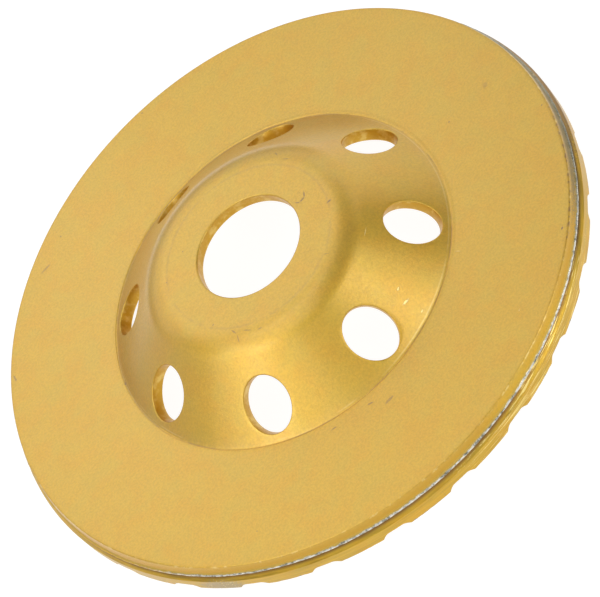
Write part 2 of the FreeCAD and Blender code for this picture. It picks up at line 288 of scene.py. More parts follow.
def repeat_sector(bm, sectors):
    """Repeats the sector and joins the copies into a closed ring"""
    spin_shape(bm, FULL_TURN * (sectors - 1) / sectors, sectors - 1, copies=True)
    bmesh.ops.remove_doubles(bm, verts=bm.verts[:], dist=WELD_DISTANCE)


def flat_radius(place):
    """Returns a place's distance from the spindle axis"""
    return math.hypot(place.x, place.y)


def place_object(name, data):
    """Adds an object to the scene and returns it"""
    item = bpy.data.objects.new(name, data)
    bpy.context.scene.collection.objects.link(item)
    return item


def place_shape(bm, name, material):
    """Turns a shape into an object with its material, and returns it"""
    mesh = bpy.data.meshes.new(name)
    bm.to_mesh(mesh)
    bm.free()
    mesh.materials.append(material)
    return place_object(name, mesh)


def finish_piece(bm, name, node, material):
    """Turns a closed shape into a smooth piece that stands for its CAD node"""
    if any(not edge.is_manifold for edge in bm.edges):
        raise RuntimeError(f"{name} has an open or doubled edge")
    bmesh.ops.recalc_face_normals(bm, faces=bm.faces[:])
    for face in bm.faces:
        face.smooth = True
    for edge in bm.edges:
        edge.smooth = edge.calc_face_angle() < SHARP_ANGLE
    piece = place_shape(bm, name, material)
    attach(piece, "root")
    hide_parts(node)


# The cup

STEPS_PER_VENT = 48
VENT_SEGMENTS = 104
VENT_HALF_STEPS = 14
VENT_ROW = 0.55 * MM
VENT_HALF_ROWS = 12
VENT_SLACK = 1.003
SETTLING_ROUNDS = 6
BORE_SLACK = 0.01 * MM
STEP_ROUND = 0.06 * MM
CREASE_ROUND = 0.3 * MM
BURR_WIDTH = 0.6 * MM
BURR_ROUND = 1.0 * MM


def cone_tilt(cup):
    """Returns the cone's slope as its sine and cosine"""
    rise = cup.centre_height - cup.flange_height
    run = cup.foot_radius - cup.shoulder_radius
    return rise / math.hypot(rise, run), run / math.hypot(rise, run)


def cone_place(cup, place):
    """Returns how far up the cone a place lies, and how deep under its outer face"""
    sine, cosine = cone_tilt(cup)
    inwards, upwards = cup.foot_radius - flat_radius(place), place.z - cup.flange_height
    return inwards * cosine + upwards * sine, inwards * sine - upwards * cosine


def cone_corner(cup, rise, depth):
    """Returns the unrounded corner at a rise and a depth on the cone"""
    sine, cosine = cone_tilt(cup)
    radius = cup.foot_radius - rise * cosine - depth * sine
    return radius, cup.flange_height + rise * sine - depth * cosine, 0.0


def cup_section(cup):
    """Returns the corners of the cup's section, outwards on top and back underneath"""
    sine, cosine = cone_tilt(cup)
    inner_height = cup.centre_height - cup.sheet
    inner_shoulder, inner_foot = (cup.foot_radius - (cup.sheet + (height - cup.flange_height) * cosine) / sine
                                  for height in (inner_height, cup.seat_height))
    crease = cup.foot_radius + cup.crease_depth * cosine / sine
    burr = crease + cup.crease_width
    vent_half = VENT_ROW * VENT_HALF_ROWS
    return [
        (cup.bore_radius, cup.centre_height, cup.bore_round),
        (cup.shoulder_radius, cup.centre_height, cup.shoulder_round),
        cone_corner(cup, cup.vent_along + vent_half, 0.0),
        cone_corner(cup, cup.vent_along - vent_half, 0.0),
        (crease, cup.flange_height - cup.crease_depth, CREASE_ROUND),
        (burr, cup.flange_height + cup.burr_height, CREASE_ROUND),
        (burr + BURR_WIDTH, cup.flange_height, BURR_ROUND),
        (cup.flange_radius, cup.flange_height, cup.flange_round),
        (cup.outer_radius, cup.underside, STEP_ROUND),
        (cup.seat_radius, cup.underside, STEP_ROUND),
        (cup.seat_radius, cup.seat_height, STEP_ROUND),
        (inner_foot, cup.seat_height, cup.inner_foot_round),
        cone_corner(cup, cup.vent_along - vent_half, cup.sheet),
        cone_corner(cup, cup.vent_along + vent_half, cup.sheet),
        (inner_shoulder, inner_height, cup.shoulder_round - cup.sheet),
        (cup.bore_radius, inner_height, cup.bore_round),
    ]


def vent_faces(bm, cup, depth):
    """Returns the cone's faces round the vent, at one depth in the sheet"""
    reach = FULL_TURN / cup.vent_count / STEPS_PER_VENT * VENT_HALF_STEPS
    faces = []
    for face in bm.faces:
        centre = face.calc_center_median()
        rise, deep = cone_place(cup, centre)
        on_rise = abs(rise - cup.vent_along) < VENT_ROW * VENT_HALF_ROWS
        on_side = abs(deep - depth) < 0.1 * cup.sheet
        if on_side and on_rise and abs(math.atan2(centre.y, centre.x)) < reach:
            faces.append(face)
    return faces


def edges_between(verts):
    """Returns the edges whose two ends are both among the given verts"""
    chosen = set(verts)
    return list({edge for vert in chosen for edge in vert.link_edges if edge.other_vert(vert) in chosen})


def settle_on_sheet(cup, points, axis, depth):
    """Moves points along a vent's axis until they lie at a depth in the sheet"""
    for point in points:
        for _ in range(SETTLING_ROUNDS):
            point.co += axis * (cone_place(cup, point.co)[1] - depth)


def open_vent_side(bm, cup, depth):
    """Cuts an oval hole through one side of the sheet and draws the sheet up to it"""
    sine, cosine = cone_tilt(cup)
    radius, height, _ = cone_corner(cup, cup.vent_along, depth)
    axis = Vector((sine, 0.0, cosine))
    place = Matrix.Translation((radius, 0.0, height)) @ Matrix.Rotation(math.atan2(sine, cosine), 4, "Y")
    oval = place @ Matrix.Diagonal((cup.vent_length / cup.vent_width, 1.0, 1.0, 1.0))
    faces = vent_faces(bm, cup, depth)
    block = set(faces)
    border = [edge for face in faces for edge in face.edges
              if any(link not in block for link in edge.link_faces)]
    bmesh.ops.delete(bm, geom=faces, context="FACES")
    circle = bmesh.ops.create_circle(bm, cap_ends=False, radius=cup.vent_width / 2, segments=VENT_SEGMENTS,
                                     matrix=oval)["verts"]
    settle_on_sheet(cup, circle, axis, depth)
    bridge = bmesh.ops.bridge_loops(bm, edges=border + edges_between(circle))
    inner = bmesh.ops.subdivide_edges(bm, edges=bridge["edges"], cuts=3, use_grid_fill=True)["geom_inner"]
    settle_on_sheet(cup, only_verts(inner), axis, depth)


def in_vent(cup, place):
    """Returns whether a place lies in the vent or on its edge"""
    sine, cosine = cone_tilt(cup)
    radius, height, _ = cone_corner(cup, cup.vent_along, 0.0)
    along = (place.x - radius) * cosine - (place.z - height) * sine
    return math.hypot(along * 2 / cup.vent_length, place.y * 2 / cup.vent_width) < VENT_SLACK


def cut_vent(bm, cup):
    """Punches the sector's vent through the cone, with softened edges"""
    open_vent_side(bm, cup, 0.0)
    open_vent_side(bm, cup, cup.sheet)
    rims = [edge for edge in bm.edges if edge.is_boundary and in_vent(cup, edge.verts[0].co)]
    wall = bmesh.ops.bridge_loops(bm, edges=rims)
    cross = set(wall["edges"])
    rims = {edge for face in wall["faces"] for edge in face.edges if edge not in cross}
    bmesh.ops.bevel(bm, geom=list(rims), offset=cup.vent_edge, offset_type="OFFSET", segments=3,
                    profile=0.5, affect="EDGES", material=-1)


def mark_punched_walls(bm, cup):
    """Marks where the sheet was punched through, for the paint"""
    layer = bm.verts.layers.float.new("punched")
    for vert in bm.verts:
        in_bore = flat_radius(vert.co) < cup.bore_radius + BORE_SLACK
        vert[layer] = 1.0 if in_bore or in_vent(cup, vert.co) else 0.0


class AddPaintedCup(Operator):
    """Add the pressed cup with its vents and its gold paint"""

    bl_idname = "wheel.add_painted_cup"
    bl_label = "Add Painted Cup"

    def execute(self, context):
        settings = context.scene.cup_wheel
        bm = bmesh.new()
        draw_section(bm, cup_section(settings.cup))
        divide_section(bm, slope_spacing=VENT_ROW, level_spacing=3 * MM, hold=0.25 * MM)
        spin_sector(bm, settings.cup.vent_count, STEPS_PER_VENT)
        cut_vent(bm, settings.cup)
        mark_punched_walls(bm, settings.cup)
        repeat_sector(bm, settings.cup.vent_count)
        finish_piece(bm, "painted_cup", "cup_body", gold_paint(settings))
        return {"FINISHED"}


# The seam

SEAM_SECTORS = 24
STEPS_PER_SECTOR = 40


def wander(seam, place):
    """Returns how far a point of the bead strays from the even bead"""
    outwards = Vector((place.x, place.y, 0.0)).normalized()
    spot = outwards * seam.outer_radius / MM
    swell = noise.fractal(spot * 0.6, 1.0, 2.0, 3)
    lift = noise.fractal(spot * 0.25 + Vector((0.0, 0.0, 9.0)), 1.0, 2.0, 2)
    return outwards * seam.unevenness * (swell - 0.2) + Vector((0, 0, lift * 0.5 * seam.unevenness))


class AddBrazedBead(Operator):
    """Add the brazed seam with its uneven bead"""

    bl_idname = "wheel.add_brazed_bead"
    bl_label = "Add Brazed Bead"

    def execute(self, context):
        settings = context.scene.cup_wheel
        seam = settings.seam
        head_radius = seam.outer_radius - seam.head_inset
        bm = bmesh.new()
        draw_section(bm, [
            (seam.inner_radius, seam.low, 0.0),
            (seam.outer_radius - 2 * seam.foot_inset, seam.low, 0.0),
            (seam.outer_radius - seam.foot_inset, seam.foot, 0.0),
            (seam.outer_radius, seam.low, seam.bead_round),
            (seam.outer_radius, seam.high, seam.bead_round),
            (head_radius, seam.head, 0.0),
            (head_radius, seam.high, 0.0),
            (seam.inner_radius, seam.high, 0.0),
        ])
        divide_section(bm, slope_spacing=0.4 * MM, level_spacing=6 * MM, hold=0.25 * MM)
        spin_sector(bm, SEAM_SECTORS, STEPS_PER_SECTOR)
        repeat_sector(bm, SEAM_SECTORS)
        bead_start = seam.outer_radius - 1.5 * seam.head_inset
        for vert in bm.verts:
            if flat_radius(vert.co) > bead_start:
                vert.co += wander(seam, vert.co)
        finish_piece(bm, "brazed_bead", "braze_seam", brazing_alloy(settings))
        return {"FINISHED"}


# The rim

STEPS_PER_GROOVE = 48
GROOVE_SHARE = 14 / 24
GROOVE_MARGIN = 0.5 * MM
BEVEL_ROUND = 0.12 * MM
CHIP_WIDTH = 0.25 * MM
CHIP_HEIGHT = 1.6 * MM


def shape_groove(rim, place):
    """Moves one point of the plain sector to where it lies round its groove"""
    half_pitch = FULL_TURN / rim.groove_count / 2
    radius = flat_radius(place)
    share = math.atan2(place.y, place.x) / half_pitch
    half_width = rim.groove_mouth / 2 + GROOVE_MARGIN
    half_angle = math.asin(half_width / radius)
    if abs(share) <= GROOVE_SHARE:
        angle = math.asin(share / GROOVE_SHARE * half_width / radius)
    else:
        land_share = (abs(share) - GROOVE_SHARE) / (1 - GROOVE_SHARE)
        angle = math.copysign(half_angle + land_share * (half_pitch - half_angle), share)
    across = abs(radius * math.sin(angle))
    fall = (rim.groove_mouth / 2 - across) / (rim.groove_mouth / 2 - rim.groove_roof / 2)
    lift = rim.groove_depth * math.sin(math.pi / 2 * min(max(fall, 0.0), 1.0))
    height = place.z + lift * max(1 - place.z / (rim.height - rim.bevel), 0.0)
    return Vector((radius * math.cos(angle), radius * math.sin(angle), height))


def chip_edge(rim, place):
    """Returns how far the lower outer edge is chipped upwards at a place"""
    if flat_radius(place) <= rim.outer_radius - CHIP_WIDTH or place.z >= CHIP_HEIGHT:
        return 0.0
    chip = noise.fractal(Vector((place.x, place.y, 0.0)) / MM * 0.9, 1.0, 2.2, 3)
    return rim.raggedness * max(chip, 0.0) * (1 - place.z / CHIP_HEIGHT)


class AddGroovedRim(Operator):
    """Add the abrasive rim with its grooves and its worn paint"""

    bl_idname = "wheel.add_grooved_rim"
    bl_label = "Add Grooved Rim"

    def execute(self, context):
        settings = context.scene.cup_wheel
        rim = settings.rim
        bm = bmesh.new()
        draw_section(bm, [
            (rim.inner_radius, 0.0, rim.edge_round),
            (rim.outer_radius, 0.0, rim.edge_round),
            (rim.outer_radius, rim.height - rim.bevel, BEVEL_ROUND),
            (rim.outer_radius - rim.ledge, rim.height, BEVEL_ROUND),
            (rim.inner_radius, rim.height, BEVEL_ROUND),
        ])
        divide_section(bm, slope_spacing=0.42 * MM, level_spacing=1.6 * MM, hold=0.2 * MM)
        spin_sector(bm, rim.groove_count, STEPS_PER_GROOVE)
        for vert in bm.verts:
            vert.co = shape_groove(rim, vert.co)
        repeat_sector(bm, rim.groove_count)
        turn_shape(bm, rim.groove_turn)
        for vert in bm.verts:
            vert.co.z += chip_edge(rim, vert.co)
        finish_piece(bm, "grooved_rim", "diamond_rim", painted_abrasive(settings))
        return {"FINISHED"}


# Shader helpers

INPUT_KINDS = {1: "NodeSocketFloat", 3: "NodeSocketVector", 4: "NodeSocketColor"}
OUTPUT_KINDS = {"VALUE": "NodeSocketFloat", "VECTOR": "NodeSocketVector", "RGBA": "NodeSocketColor"}
ORIGIN = (0.0, 0.0, 0.0)
WHITE = (1.0, 1.0, 1.0, 1.0)


def set_inputs(node, inputs):
    """Gives a node's inputs their values or links"""
    for key, value in inputs.items():
        if isinstance(value, NodeSocket):
            node.id_data.links.new(value, node.inputs[key])
        else:
            node.inputs[key].default_value = value


def add_node(tree, kind, inputs=None, **options):
    """Adds a node and sets its options and its inputs"""
    node = tree.nodes.new(kind)
    for name, value in options.items():
        setattr(node, name, value)
    set_inputs(node, inputs or {})
    return node


def join_node(kind, inputs, **options):
    """Adds a node to the tree that its linked inputs lie in"""
    tree = next(value.id_data for value in inputs.values() if isinstance(value, NodeSocket))
    return add_node(tree, kind, inputs, **options)


def maths(operation, *values):
    """Adds a Math node and returns its result"""
    return join_node("ShaderNodeMath", dict(enumerate(values)), operation=operation).outputs[0]


def product(*values):
    """Multiplies values"""
    return reduce(lambda first, second: maths("MULTIPLY", first, second), values)


def largest(*values):
    """Returns the largest of some values"""
    return reduce(lambda first, second: maths("MAXIMUM", first, second), values)


def add_shares(base, *shares):
    """Returns a base value to which shares of other values are added"""
    for value, share in shares:
        base = maths("MULTIPLY_ADD", value, share, base)
    return base


def fade(value, start, end):
    """Returns a smooth run from 0 at start to 1 at end"""
    return join_node("ShaderNodeMapRange", {"Value": value, "From Min": start, "From Max": end},
                     interpolation_type="SMOOTHSTEP").outputs["Result"]


def blend(factor, first, second, way="MIX"):
    """Mixes two colours"""
    return join_node("ShaderNodeMix", {0: factor, 6: first, 7: second}, data_type="RGBA",
                     blend_type=way).outputs[2]


def shade(colour, tone):
    """Multiplies a colour by an even tone"""
    grey = join_node("ShaderNodeCombineColor", {0: tone, 1: tone, 2: tone}).outputs[0]
    return blend(1.0, colour, grey, "MULTIPLY")


def lay_over(base, *layers):
    """Lays colours over a base, each through a mask, which a share may weaken"""
    for mask, colour, *share in layers:
        base = blend(product(mask, *share), base, colour)
    return base


def speckle(vector, scale, detail=3.0, roughness=0.6):
    """Returns a noise value"""
    return join_node("ShaderNodeTexNoise", {
        "Vector": vector, "Scale": scale, "Detail": detail, "Roughness": roughness,
    }).outputs["Fac"]


def shift(vector, x, y, z):
    """Returns a vector moved by a fixed amount"""
    return join_node("ShaderNodeVectorMath", {0: vector, 1: (x, y, z)}, operation="ADD").outputs[0]


def vector_length(vector):
    """Returns a vector's length"""
    return join_node("ShaderNodeVectorMath", {0: vector}, operation="LENGTH").outputs["Value"]


def axis_distance(vector):
    """Returns a point's distance from the spindle axis"""
    flat = join_node("ShaderNodeVectorMath", {0: vector, 1: (1, 1, 0)}, operation="MULTIPLY")
    return vector_length(flat.outputs[0])


def height_over_face(vector):
    """Returns a point's height over the grinding face"""
    return join_node("ShaderNodeSeparateXYZ", {0: vector}).outputs["Z"]


def raised_normal(relief):
    """Returns the normal of a surface with a fine relief in millimetres"""
    return join_node("ShaderNodeBump", {"Height": relief, "Distance": MM}).outputs[0]


def spell_out(key):
    """Returns the name in Blender that a name in this script stands for"""
    return key.replace("_", " ").title()


def start_effect(name, **inputs):
    """Starts a node group, and returns it with its vector and all its inputs"""
    group = bpy.data.node_groups.new(name, "ShaderNodeTree")
    for key, default in {"vector": ORIGIN, **inputs}.items():
        kind = INPUT_KINDS[1 if isinstance(default, float) else len(default)]
        group.interface.new_socket(spell_out(key), in_out="INPUT", socket_type=kind).default_value = default
    given = group.nodes.new("NodeGroupInput").outputs
    return group, given["Vector"], given


def end_effect(group, **results):
    """Gives a node group its outputs and returns it"""
    named = {spell_out(key): value for key, value in results.items()}
    for name, value in named.items():
        group.interface.new_socket(name, in_out="OUTPUT", socket_type=OUTPUT_KINDS[value.type])
    set_inputs(group.nodes.new("NodeGroupOutput"), named)
    return group


# Effects that the materials share, all in millimetres

def paint_grain():
    """Makes the effect for the flakes and specks of metallic paint"""
    group, vector, given = start_effect("Paint Grain", grain_size=0.4, flake_size=0.2)
    grain = speckle(vector, maths("DIVIDE", 1.0, given["Grain Size"]))
    flake_scale = maths("DIVIDE", 1.0, given["Flake Size"])
    flakes = join_node("ShaderNodeTexVoronoi", {"Vector": vector, "Scale": flake_scale})
    flake = join_node("ShaderNodeSeparateColor", {0: flakes.outputs["Color"]}).outputs[0]
    relief = add_shares(grain, (flake, 0.5))
    return end_effect(group, grain=fade(grain, 0.3, 0.7), flake=flake, height=relief)


def colour_drift():
    """Makes the effect for paint whose colour drifts from place to place"""
    group, vector, given = start_effect("Colour Drift", patch_size=6.0, colour=WHITE,
                                        warm_colour=WHITE, cool_colour=WHITE)
    scale = maths("DIVIDE", 1.0, given["Patch Size"])
    moved = shift(vector, 31.0, 17.0, 5.0)
    warm = fade(speckle(vector, scale, 2.0, 0.45), 0.42, 0.64)
    cool = fade(speckle(moved, scale, 2.0, 0.45), 0.46, 0.68)
    return end_effect(group, colour=lay_over(
        given["Colour"],
        (warm, given["Warm Colour"]),
        (cool, given["Cool Colour"]),
    ))


def ring_mark():
    """Makes the effect for a broken line round the spindle axis"""
    group, vector, given = start_effect("Ring Mark", radius=10.0, height=0.0, width=0.3,
                                        break_size=2.0, cover=0.5)
    outwards = maths("SUBTRACT", axis_distance(vector), given["Radius"])
    upwards = maths("SUBTRACT", height_over_face(vector), given["Height"])
    distance = maths("SQRT", add_shares(0.0, (outwards, outwards), (upwards, upwards)))
    line = fade(distance, given["Width"], 0.0)
    breaks = speckle(vector, maths("DIVIDE", 1.0, given["Break Size"]))
    low = maths("SUBTRACT", 0.95, given["Cover"])
    kept = fade(breaks, low, maths("ADD", low, 0.12))
    return end_effect(group, mask=product(line, kept))


def turned_lines():
    """Makes the effect for a lathe's lines round the spindle axis"""
    group, vector, given = start_effect("Turned Lines", length=8.0, pitch=0.2)
    parts = join_node("ShaderNodeSeparateXYZ", {0: vector}).outputs
    across = add_shares(parts["Z"], (axis_distance(vector), 0.37))
    stretched = join_node("ShaderNodeCombineXYZ", {
        "X": maths("DIVIDE", parts["X"], given["Length"]),
        "Y": maths("DIVIDE", parts["Y"], given["Length"]),
        "Z": maths("DIVIDE", across, given["Pitch"]),
    }).outputs[0]
    return end_effect(group, lines=fade(speckle(stretched, 1.0, 2.0, 0.5), 0.3, 0.7))


def scuff_mark():
    """Makes the effect for a mark or area with a broken outline"""
    group, vector, given = start_effect("Scuff Mark", place=ORIGIN, turn=ORIGIN,
                                        reach=(1.0, 1.0, 1.0), strength=1.0)
    mapped = join_node("ShaderNodeMapping", {
        "Vector": vector,
        "Location": given["Place"],
        "Rotation": given["Turn"],
        "Scale": given["Reach"],
    }, vector_type="TEXTURE").outputs[0]
    breaks = speckle(vector, 3.2, 3.0, 0.65)
    ragged = add_shares(vector_length(mapped), (breaks, 1.1))
    return end_effect(group, mask=product(fade(ragged, 1.5, 1.0), given["Strength"]))


def place_effect(make, vector, **inputs):
    """Places a shared effect, which is made at its first use, and returns its outputs"""
    group = bpy.data.node_groups.get(spell_out(make.__name__)) or make()
    named = {spell_out(key): value for key, value in inputs.items()}
    return join_node("ShaderNodeGroup", {"Vector": vector, **named}, node_tree=group).outputs


# The materials

# Areas of a finish and of painted light and shade: middle, turn, reach and strength, in millimetres and
# degrees
AREAS = {
    # Where the flange's side faces the light and keeps its full colour, free of painted shade
    "lit side": ((12.6, -60.3, 5.0), 12, (19.0, 12.0, 9.0), 1.0),
    "heated side": ((57.5, -18.0, 4.6), 74, (54.0, 18.0, 12.0), 1.0),
    "dotted edge": ((46.5, -39.5, 6.0), 50, (25.0, 12.0, 6.0), 0.9),
    "painted seam": ((-58.5, 16.0, 4.0), 75, (56.0, 30.0, 9.0), 1.0),
    "dull seam": ((61.8, -5.4, 4.2), 0, (58.0, 58.0, 20.0), 0.85),
    "worn rim": ((-53.3, -32.7, 1.2), -58, (6.5, 3.0, 2.4), 0.6),
    "heated rim": ((61.8, -5.4, 4.2), 0, (72.0, 72.0, 20.0), 0.9),
    "smoked rim": ((60.5, -12.0, 3.6), 0, (32.0, 32.0, 4.2), 0.8),
    # Where the rim's near side gets painted highlight streaks
    "highlighted rim": ((15.4, -60.5, 2.0), 14, (34.0, 16.0, 9.0), 1.0),
}

# Marks in the paint: radius, angle, height, turn, length, width and strength, in millimetres and degrees
SCUFFS = (
    (53.7, -11.1, 6.25, 40, 2.0, 1.4, 0.25),
    (43.9, -11.8, 6.25, 0, 0.5, 0.5, 0.55),
    (60.1, -24.5, 6.25, 0, 0.5, 0.4, 0.6),
    (57.4, 107.4, 6.25, 0, 0.5, 0.5, 0.5),
    (60.35, 77.7, 6.25, 0, 0.5, 0.5, 0.5),
    (54.7, -139.7, 6.25, 0, 0.45, 0.4, 0.5),
    (60.0, -52.8, 6.25, 20, 0.9, 0.5, 0.8),
    (41.5, -100.9, 6.25, -8.8, 3.0, 0.8, 0.45),
    (39.1, -105.4, 6.25, -28.8, 1.6, 0.5, 0.6),
    (38.9, -117.6, 6.25, -23.7, 1.5, 0.4, 0.6),
    (57.6, 114.9, 6.25, -5.5, 3.6, 0.7, 0.4),
    (60.2, 139.2, 6.25, -107, 2.4, 0.5, 0.5),
    (13.46, -15.2, 18.8, -1.6, 1.6, 0.4, 0.9),
    (14.41, -12.2, 18.8, -127.5, 1.8, 0.45, 0.7),
    (12.44, -14.4, 18.8, -63.7, 1.4, 0.4, 0.6),
    (18.04, -30.9, 18.8, -8.8, 1.4, 0.5, 0.8),
    (18.38, -68.5, 18.8, -50.3, 1.9, 0.35, 0.35),
    (19.24, 20, 18.8, -64, 2.1, 0.4, 0.4),
    (20.38, 28.4, 18.8, -104, 1.7, 0.4, 0.4),
    (17.22, -160.1, 18.8, -8.8, 0.8, 0.35, 0.5),
    (18.67, -143.7, 18.8, -90, 1.9, 0.4, 0.5),
    (20.27, -140.5, 18.8, -125, 2.6, 0.35, 0.45),
    (19.03, -134.7, 18.8, -57, 2.4, 0.4, 0.4),
    (19.63, -126.9, 18.8, -33, 1.3, 0.4, 0.4),
    (14.8, 121.7, 18.8, 0, 0.5, 0.4, 0.5),
    (18.0, 143.4, 18.8, 0, 0.5, 0.4, 0.5),
    (36.8, 156.5, 6.25, 60, 0.9, 0.5, 0.7),
)
NICKS = (
    (38.51, -54.3, 6.25, -63, 1.3, 0.25, 0.5),
    (55.3, -69.8, 6.25, 30, 0.7, 0.25, 0.7),
    (24.18, -52.8, 16.64, 34.8, 2.2, 0.22, 0.8),
    (31.07, -71.8, 10.88, 20, 1.1, 0.35, 1.0),
    (32.85, -74.9, 9.38, 4.4, 2.1, 0.45, 1.0),
    (35.52, -75.1, 7.15, 15, 0.9, 0.3, 0.8),
)

MARK_DEPTH = 1.6
# Radius of a faint dark line round the raised centre, near where its flat meets the bend
CENTRE_LINE_RADIUS = 17.8


def new_tree(owner):
    """Empties the nodes of a material or a world and returns its tree"""
    owner.use_nodes = True
    owner.node_tree.nodes.clear()
    return owner.node_tree


def new_material(name):
    """Makes a material and returns it with its shader and its vector in millimetres"""
    material = bpy.data.materials.new(name)
    tree = new_tree(material)
    shader = add_node(tree, "ShaderNodeBsdfPrincipled")
    join_node("ShaderNodeOutputMaterial", {"Surface": shader.outputs[0]}, is_active_output=True)
    place = add_node(tree, "ShaderNodeTexCoord").outputs["Object"]
    scaled = join_node("ShaderNodeVectorMath", {0: place, "Scale": 1 / MM}, operation="SCALE").outputs[0]
    return material, shader, scaled


def ring_mask(vector, radius, height, **line):
    """Places a ring mark and returns its mask"""
    return place_effect(ring_mark, vector, radius=radius, height=height, **line)["Mask"]


def scuff_mask(vector, place, turn, reach, strength):
    """Places a scuff mark and returns its mask"""
    return place_effect(scuff_mark, vector, place=place, turn=(0.0, 0.0, math.radians(turn)),
                        reach=reach, strength=strength)["Mask"]


def area_mask(vector, name):
    """Returns the mask of a named area"""
    return scuff_mask(vector, *AREAS[name])


def gather_marks(vector, marks):
    """Places every mark of a table and returns their joint mask"""
    masks = []
    for radius, angle, height, turn, length, width, strength in marks:
        around = math.radians(angle)
        place = (radius * math.cos(around), radius * math.sin(around), height)
        masks.append(scuff_mask(vector, place, turn, (length / 2, width / 2, MARK_DEPTH), strength))
    return largest(*masks)


def drifting_gold(vector, colours, patch_size):
    """Returns gold that drifts between orange and green"""
    return place_effect(colour_drift, vector, patch_size=patch_size, colour=colours.gold,
                        warm_colour=colours.warm_gold, cool_colour=colours.green_gold)["Colour"]


def gold_paint(settings):
    """Makes the cup's gold paint, with its marks, worn edges, painted shade and painted highlights"""
    cup, colours = settings.cup, settings.colours
    face, edge, foot = cup.flange_height / MM, cup.flange_radius / MM, cup.foot_radius / MM
    material, shader, vector = new_material("Gold Paint")
    level = height_over_face(vector)
    grain = place_effect(paint_grain, vector, grain_size=0.45, flake_size=0.24)
    clouds = speckle(vector, 0.22)
    tone = add_shares(0.85, (grain["Grain"], 0.14), (clouds, 0.06))

    # The punched walls of the holes, darker gold as painted shade with painted glints, and painted glints
    # round the holes' edges
    punched = add_node(shader.id_data, "ShaderNodeAttribute", attribute_name="punched").outputs["Fac"]
    glints = fade(speckle(vector, 0.45), 0.46, 0.68)
    wall = blend(product(glints, 0.45), colours.shade_and_pit_gold, colours.nick)
    hole_edge = product(punched, maths("SUBTRACT", 1.0, punched))
    edge_glints = product(fade(speckle(vector, 2.4, 2.0, 0.6), 0.52, 0.62), hole_edge, 2.4)

    # The flange's side, darker as painted shade except where it faces the light, and dulled by heat in one
    # place; its upper edge, with a painted highlight and dark dots
    side = ring_mask(vector, edge + 0.35, face - 1.1, width=1.7, break_size=9.0, cover=0.9)
    # Painted shade on the flange's side, except where it faces the light
    shaded_side = product(side, add_shares(1.0, (area_mask(vector, "lit side"), -0.75)))
    lower_side = add_shares(0.55, (fade(level, 6.2, 5.2), 0.45))
    dull = product(side, area_mask(vector, "heated side"), lower_side)
    # A painted highlight along the flange's rounded upper edge
    edge_highlight = ring_mask(vector, edge, face - 0.1, width=0.32, break_size=1.6, cover=0.42)
    dark_edge = ring_mask(vector, edge, face - 0.1, width=0.6, break_size=0.9, cover=0.45)

    # The die line at the foot, painted as a line of shade with a painted highlight above it, a faint dark
    # line round the raised centre, the scuffs and the nicks
    line_height = face - cup.crease_depth / MM
    # Painted shade in the die line, and a painted highlight on the cone just above it
    crease = ring_mask(vector, foot + 0.14, line_height, width=0.28, break_size=9.0, cover=0.5)
    lit_crease = ring_mask(vector, foot - 0.3, face + 0.2, width=0.24, break_size=12.0, cover=0.5)
    centre = cup.centre_height / MM
    ring = ring_mask(vector, CENTRE_LINE_RADIUS, centre, width=0.45, break_size=5.0, cover=0.58)
    scuffs = product(gather_marks(vector, SCUFFS), 1.3)
    nicks = gather_marks(vector, NICKS)

    colour = lay_over(
        shade(drifting_gold(vector, colours, 6.0), tone),
        (shaded_side, colours.shade_and_pit_gold, 0.9),
        (dull, colours.tarnish, 0.9),
        (punched, wall),
        (edge_glints, colours.nick),
        (crease, colours.mark, 0.6),
        (lit_crease, colours.nick, 0.4),
        (largest(product(ring, 0.22), scuffs), colours.mark),
        (largest(nicks, product(edge_highlight, 0.6)), colours.nick),
        (product(dark_edge, area_mask(vector, "dotted edge")), colours.mark),
    )
    drawn = maths("SUBTRACT", fade(level, 6.3, 8.0), fade(level, 17.2, 18.6))
    relief = add_shares(0.0, (speckle(vector, 0.5, 2.0, 0.5), 0.03), (grain["Height"], 0.025),
                        (largest(scuffs, nicks), -0.04))
    set_inputs(shader, {
        "Base Color": colour,
        "Metallic": add_shares(1.0, (dull, -0.85)),
        "Roughness": add_shares(0.355, (grain["Flake"], 0.12), (nicks, -0.15), (dull, 0.25)),
        "Coat Weight": add_shares(1.0, (largest(dull, drawn), -0.2), (largest(punched, side), -0.65)),
        "Coat Roughness": 0.27,
        "Coat IOR": 1.7,
        "Normal": raised_normal(relief),
    })
    return material


def brazing_alloy(settings):
    """Makes the seam's alloy, tarnished and painted over in places, with painted shade on the bead's lower
    part
    """
    colours = settings.colours
    material, shader, vector = new_material("Brazing Alloy")
    grain = place_effect(paint_grain, vector, grain_size=0.3, flake_size=0.2)
    tarnish = fade(speckle(vector, 0.9, 4.0, 0.7), 0.42, 0.66)
    flecks = fade(speckle(shift(vector, 7.0, 3.0, 0.0), 0.7, 4.0, 0.7), 0.64, 0.7)
    painted = largest(area_mask(vector, "painted seam"), flecks)
    dull = area_mask(vector, "dull seam")
    uneven_level = add_shares(height_over_face(vector), (speckle(vector, 0.8), 0.5))
    lapped = product(fade(uneven_level, 4.62, 4.78), maths("SUBTRACT", 1.0, dull))
    colour = lay_over(
        colours.braze,
        (tarnish, colours.dull_braze),
        (dull, colours.dull_braze),
        # Painted shade on the bead's lower part, partly burnt flux
        (fade(uneven_level, 4.2, 4.0), colours.flux),
        (painted, colours.gold),
        (lapped, colours.lapped_gold),
    )
    matt = largest(tarnish, painted, product(lapped, 1.8))
    set_inputs(shader, {
        "Base Color": colour,
        "Metallic": 1.0,
        "Roughness": add_shares(0.26, (matt, 0.18)),
        "Normal": raised_normal(product(grain["Height"], 0.03)),
    })
    return material


